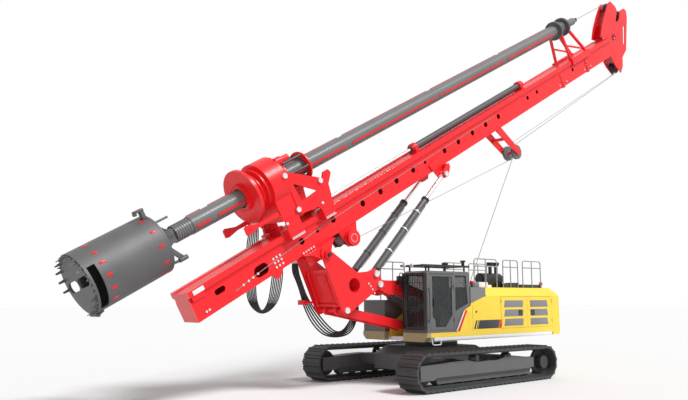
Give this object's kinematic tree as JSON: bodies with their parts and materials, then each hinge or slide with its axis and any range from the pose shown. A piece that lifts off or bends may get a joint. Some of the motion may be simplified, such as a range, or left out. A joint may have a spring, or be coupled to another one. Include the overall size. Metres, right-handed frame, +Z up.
{
  "type": "rotary piling rig",
  "caption": "Crawler-tracked rotary piling rig: a slewing body carries a tilted mast with a rotary drive, a telescopic kelly bar and a drilling bucket.",
  "frame": {"origin": "on the ground under the axis on which the upper body slews", "axes": "+X forward, towards the bucket; +Y to the cab's side; +Z up"},
  "size_m": [25.4995, 4.9, 15.7997],
  "materials": {
    "red_paint": "gloss",
    "yellow_paint": "satin",
    "cab_grey": "satin",
    "frame_grey": "satin",
    "barrel_grey": "satin",
    "kelly_steel": "satin",
    "bucket_grey": "matte",
    "black_paint": "satin",
    "track_steel": "matte",
    "wheel_steel": "matte",
    "chrome_rod": "polished",
    "cab_glazing": "gloss",
    "cab_trim": "matte",
    "engine_iron": "matte"
  },
  "bodies": {
    "undercarriage": {"carbody": "frame_grey", "slew_ring": "wheel_steel"},
    "left_track_group": {"track_left": "track_steel", "track_frame_left": "frame_grey", "track_wheels_left": "wheel_steel"},
    "right_track_group": {"track_right": "track_steel", "track_frame_right": "frame_grey", "track_wheels_right": "wheel_steel"},
    "upper": {"deck": "yellow_paint", "cab_floor": "cab_grey", "cab_roof": "cab_grey", "cab_shell": "cab_grey", "cab_glass": "cab_glazing", "cab_interior": "cab_trim", "cab_guards": "black_paint", "hood": "yellow_paint", "engine_block": "engine_iron", "counterweight": "yellow_paint", "right_house": "cab_grey", "handrails": "black_paint", "air_cleaner": "black_paint", "main_winch_frame": "red_paint"},
    "door": {"cab_door": "cab_grey", "door_glass": "cab_glazing"},
    "front_service_door": {"service_door_front": "yellow_paint"},
    "rear_service_door": {"service_door_rear": "yellow_paint"},
    "right_service_door": {"service_door_right": "yellow_paint"},
    "main_drum": {"main_winch_drum": "black_paint"},
    "boom": {"boom": "red_paint"},
    "links": {"support_rods": "red_paint"},
    "luff_barrel_pair": {"luff_barrels": "barrel_grey"},
    "luff_rod_pair": {"luff_rods": "chrome_rod"},
    "tilt_frame": {"tilt_frame": "red_paint"},
    "mast_barrel_pair": {"mast_barrels": "barrel_grey"},
    "mast_rod_pair": {"mast_rods": "chrome_rod"},
    "mast": {"mast_lower": "red_paint", "mast_brackets": "red_paint", "mast_upper": "red_paint", "mast_head": "red_paint", "crowd_barrel": "barrel_grey", "rope_guide": "red_paint", "aux_winch_frame": "red_paint"},
    "front_sheave": {"head_sheave_front": "black_paint"},
    "rear_sheave": {"head_sheave_rear": "black_paint"},
    "low_sheave": {"head_sheave_low": "black_paint"},
    "guide_sheaves": {"guide_sheaves": "kelly_steel"},
    "aux_drum": {"aux_winch_drum": "black_paint"},
    "sled": {"sled": "red_paint", "rotary_drive": "red_paint", "crowd_rod": "chrome_rod"},
    "sleeve": {"drive_sleeve": "red_paint"},
    "kelly_guide": {"kelly_guide": "red_paint"},
    "outer_kelly": {"kelly_outer": "kelly_steel"},
    "middle_kelly": {"kelly_middle": "kelly_steel"},
    "core_kelly": {"kelly_core": "kelly_steel", "bucket_shell": "bucket_grey"},
    "bucket_gate": {"bucket_bottom": "bucket_grey"}
  },
  "joints": [
    {"name": "left_track_spread", "type": "slide", "parent": "undercarriage", "child": "left_track_group", "axis": [0, -1, 0], "range_m": [0, 0.6]},
    {"name": "right_track_spread", "type": "slide", "parent": "undercarriage", "child": "right_track_group", "axis": [0, 1, 0], "range_m": [0, 0.6]},
    {"name": "slew", "type": "hinge", "parent": "undercarriage", "child": "upper", "pos_m": [0, 0, 1.1], "axis": [0, 0, 1], "continuous": true},
    {"name": "cab_door", "type": "hinge", "parent": "upper", "child": "door", "pos_m": [0.427, 1.352, 2.4], "axis": [0, 0, 1], "range_deg": [0, 90]},
    {"name": "front_service_door", "type": "hinge", "parent": "upper", "child": "front_service_door", "pos_m": [-1.885, 1.382, 2.1], "axis": [0, 0, -1], "range_deg": [0, 90]},
    {"name": "rear_service_door", "type": "hinge", "parent": "upper", "child": "rear_service_door", "pos_m": [-4.758, 1.382, 2.1], "axis": [0, 0, 1], "range_deg": [0, 90]},
    {"name": "right_service_door", "type": "hinge", "parent": "upper", "child": "right_service_door", "pos_m": [-1.925, -1.382, 2.1], "axis": [0, 0, 1], "range_deg": [0, 90]},
    {"name": "main_drum", "type": "hinge", "parent": "upper", "child": "main_drum", "pos_m": [-1.43, 0, 2.45], "axis": [0, 1, 0], "continuous": true},
    {"name": "boom_luff", "type": "hinge", "parent": "upper", "child": "boom", "pos_m": [0.05, 0, 2.44], "axis": [0, -1, 0], "range_deg": [-3, 42]},
    {"name": "links", "type": "hinge", "parent": "upper", "child": "links", "pos_m": [1.33, 0, 1.7], "axis": [0, -1, 0], "range_deg": [-3, 42]},
    {"name": "frame_level", "type": "hinge", "parent": "boom", "child": "tilt_frame", "pos_m": [2.83, 0, 2.96], "axis": [0, -1, 0], "range_deg": [-42, 3]},
    {"name": "luff_barrels", "type": "hinge", "parent": "upper", "child": "luff_barrel_pair", "pos_m": [0.44, 0, 2.04], "axis": [0, -1, 0], "range_deg": [-3.1, 43]},
    {"name": "luff_rods", "type": "slide", "parent": "luff_barrel_pair", "child": "luff_rod_pair", "axis": [0.9213, 0, 0.3889], "range_m": [-0.03, 0.4]},
    {"name": "mast_tilt", "type": "hinge", "parent": "tilt_frame", "child": "mast", "pos_m": [4.8, 0, 3.74], "axis": [0, 1, 0], "range_deg": [-15, 66.3]},
    {"name": "mast_barrels", "type": "hinge", "parent": "tilt_frame", "child": "mast_barrel_pair", "pos_m": [2.98, 0, 3.26], "axis": [0, 1, 0], "range_deg": [-15, 66]},
    {"name": "mast_rods", "type": "slide", "parent": "mast_barrel_pair", "child": "mast_rod_pair", "axis": [-0.6971, 0, 0.717], "range_m": [-0.47, 2.07]},
    {"name": "front_sheave", "type": "hinge", "parent": "mast", "child": "front_sheave", "pos_m": [-12.20045, 0, 15.50037], "axis": [0, 1, 0], "continuous": true},
    {"name": "rear_sheave", "type": "hinge", "parent": "mast", "child": "rear_sheave", "pos_m": [-13.18683, 0, 15.42681], "axis": [0, 1, 0], "continuous": true},
    {"name": "low_sheave", "type": "hinge", "parent": "mast", "child": "low_sheave", "pos_m": [-12.55734, 0, 12.84816], "axis": [0, 1, 0], "continuous": true},
    {"name": "guide_sheaves", "type": "hinge", "parent": "mast", "child": "guide_sheaves", "pos_m": [-4.64923, 0, 7.90555], "axis": [0, 1, 0], "continuous": true},
    {"name": "aux_drum", "type": "hinge", "parent": "mast", "child": "aux_drum", "pos_m": [3.69239, 0, 4.27602], "axis": [0, 1, 0], "continuous": true},
    {"name": "crowd", "type": "slide", "parent": "mast", "child": "sled", "axis": [-0.8773, 0, 0.48], "range_m": [-2, 4]},
    {"name": "drive_spin", "type": "hinge", "parent": "sled", "child": "sleeve", "pos_m": [7.17247, 0, 5.19881], "axis": [-0.8773, 0, 0.48], "continuous": true},
    {"name": "kelly_travel", "type": "slide", "parent": "mast", "child": "kelly_guide", "axis": [-0.8773, 0, 0.48], "range_m": [-13, 1.2]},
    {"name": "kelly_spin", "type": "hinge", "parent": "kelly_guide", "child": "outer_kelly", "pos_m": [0.64563, 0, 8.77008], "axis": [-0.8773, 0, 0.48], "continuous": true},
    {"name": "middle_reach", "type": "slide", "parent": "outer_kelly", "child": "middle_kelly", "axis": [-0.8773, 0, 0.48], "range_m": [-11.5, 0]},
    {"name": "core_reach", "type": "slide", "parent": "middle_kelly", "child": "core_kelly", "axis": [-0.8773, 0, 0.48], "range_m": [-11.5, 0]},
    {"name": "bucket_gate", "type": "hinge", "parent": "core_kelly", "child": "bucket_gate", "pos_m": [11.03716, 0, 2.19961], "axis": [0, 1, 0], "range_deg": [0, 90]}
  ],
  "couplings": [
    {"joint": "links", "follows": "boom_luff", "ratio": 1},
    {"joint": "frame_level", "follows": "boom_luff", "ratio": -1},
    {"joint": "luff_barrels", "follows": "boom_luff", "ratio": 1.0124},
    {"joint": "luff_rods", "follows": "boom_luff", "m_per_rad": 0.5424},
    {"joint": "mast_barrels", "follows": "mast_tilt", "ratio": 0.98},
    {"joint": "mast_rods", "follows": "mast_tilt", "m_per_rad": 1.78},
    {"joint": "kelly_spin", "follows": "drive_spin", "ratio": 1},
    {"joint": "core_reach", "follows": "middle_reach", "ratio": 1}
  ]
}
